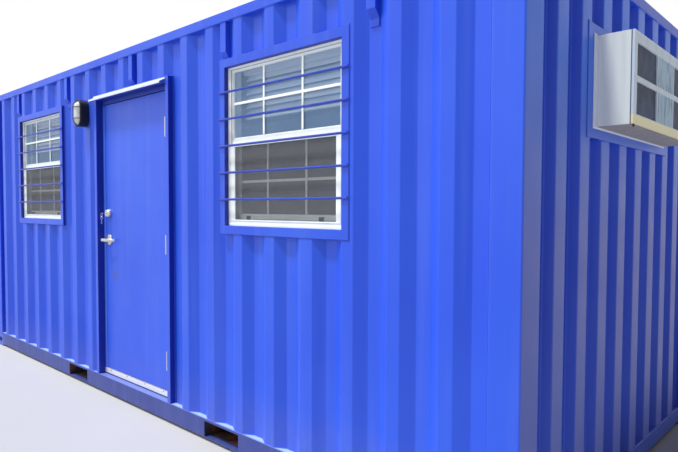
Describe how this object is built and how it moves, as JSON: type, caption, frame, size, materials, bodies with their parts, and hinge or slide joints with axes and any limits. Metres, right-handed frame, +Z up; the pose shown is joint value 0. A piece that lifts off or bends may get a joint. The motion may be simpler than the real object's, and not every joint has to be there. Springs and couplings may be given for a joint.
{
  "type": "shipping container cabin",
  "caption": "Steel box cabin of corrugated sheet on a corner-cast frame, with a hinged entrance door, barred sash windows and a wall-mounted air conditioner.",
  "frame": {"origin": "middle of the overall box, on the level that the corner castings stand on", "axes": "+X along the container towards the air conditioner's end, the door and windows face -Y, +Z up"},
  "size_m": [6.229, 2.533, 2.591],
  "materials": {
    "blue_paint": "sprayed gloss enamel over pressed and welded steel",
    "plywood": "raw",
    "vinyl_floor": "satin",
    "wall_board": "matt, painted board",
    "white_vinyl": "satin extruded vinyl",
    "window_glass": "clear float glass",
    "mill_aluminium": "mill finish",
    "white_enamel": "gloss",
    "satin_steel": "satin",
    "black_enamel": "semi-gloss",
    "opal_glass": "opal, glossy",
    "unit_enamel": "baked enamel, weathered"
  },
  "bodies": {
    "container": {"corner_castings": "blue_paint", "corner_posts": "blue_paint", "bottom_side_rails": "blue_paint", "bottom_end_rails": "blue_paint", "top_side_rails": "blue_paint", "top_end_rails": "blue_paint", "crossmembers": "blue_paint", "forklift_pockets": "blue_paint", "floor_deck": "plywood", "floor_covering": "vinyl_floor", "front_wall_left": "blue_paint", "front_wall_between": "blue_paint", "front_wall_middle": "blue_paint", "front_wall_right": "blue_paint", "front_wall_by_windows": "blue_paint", "front_wall_over_door": "blue_paint", "back_wall": "blue_paint", "left_end_wall": "blue_paint", "right_end_wall_sides": "blue_paint", "right_end_wall_by_unit": "blue_paint", "roof_panel": "blue_paint", "roof_end_plates": "blue_paint", "top_rail_brackets": "blue_paint", "front_lining": "wall_board", "back_lining": "wall_board", "left_end_lining": "wall_board", "right_end_lining": "wall_board", "ceiling_lining": "wall_board", "window_surrounds": "blue_paint", "window_frames": "white_vinyl", "window_sashes": "white_vinyl", "window_glass": "window_glass", "screen_frames": "white_vinyl", "burglar_bars": "blue_paint", "door_surround": "blue_paint", "door_frame": "blue_paint", "threshold": "mill_aluminium", "drip_cap": "white_enamel", "hinge_frame_halves": "satin_steel", "lamp_base": "black_enamel", "lamp_glass": "opal_glass", "lamp_guard": "black_enamel", "unit_surround": "blue_paint", "unit_cabinet": "unit_enamel", "unit_rear_frame": "unit_enamel"},
    "door": {"door_leaf": "blue_paint", "hinge_door_halves": "satin_steel", "lever_roses": "satin_steel", "deadbolt": "satin_steel"},
    "lever": {"lever_handle": "satin_steel"}
  },
  "joints": [
    {"name": "door_swing", "type": "hinge", "parent": "container", "child": "door", "pos_m": [0.2865, -1.1285, 1.19], "axis": [0, 0, 1], "range_deg": [0, 140]},
    {"name": "lever_turn", "type": "hinge", "parent": "door", "child": "lever", "pos_m": [-0.5705, -1.099, 1.195], "axis": [0, 1, 0], "range_deg": [0, 45], "stiffness_Nm_per_rad": 1.5, "springref_deg": -20.05}
  ]
}
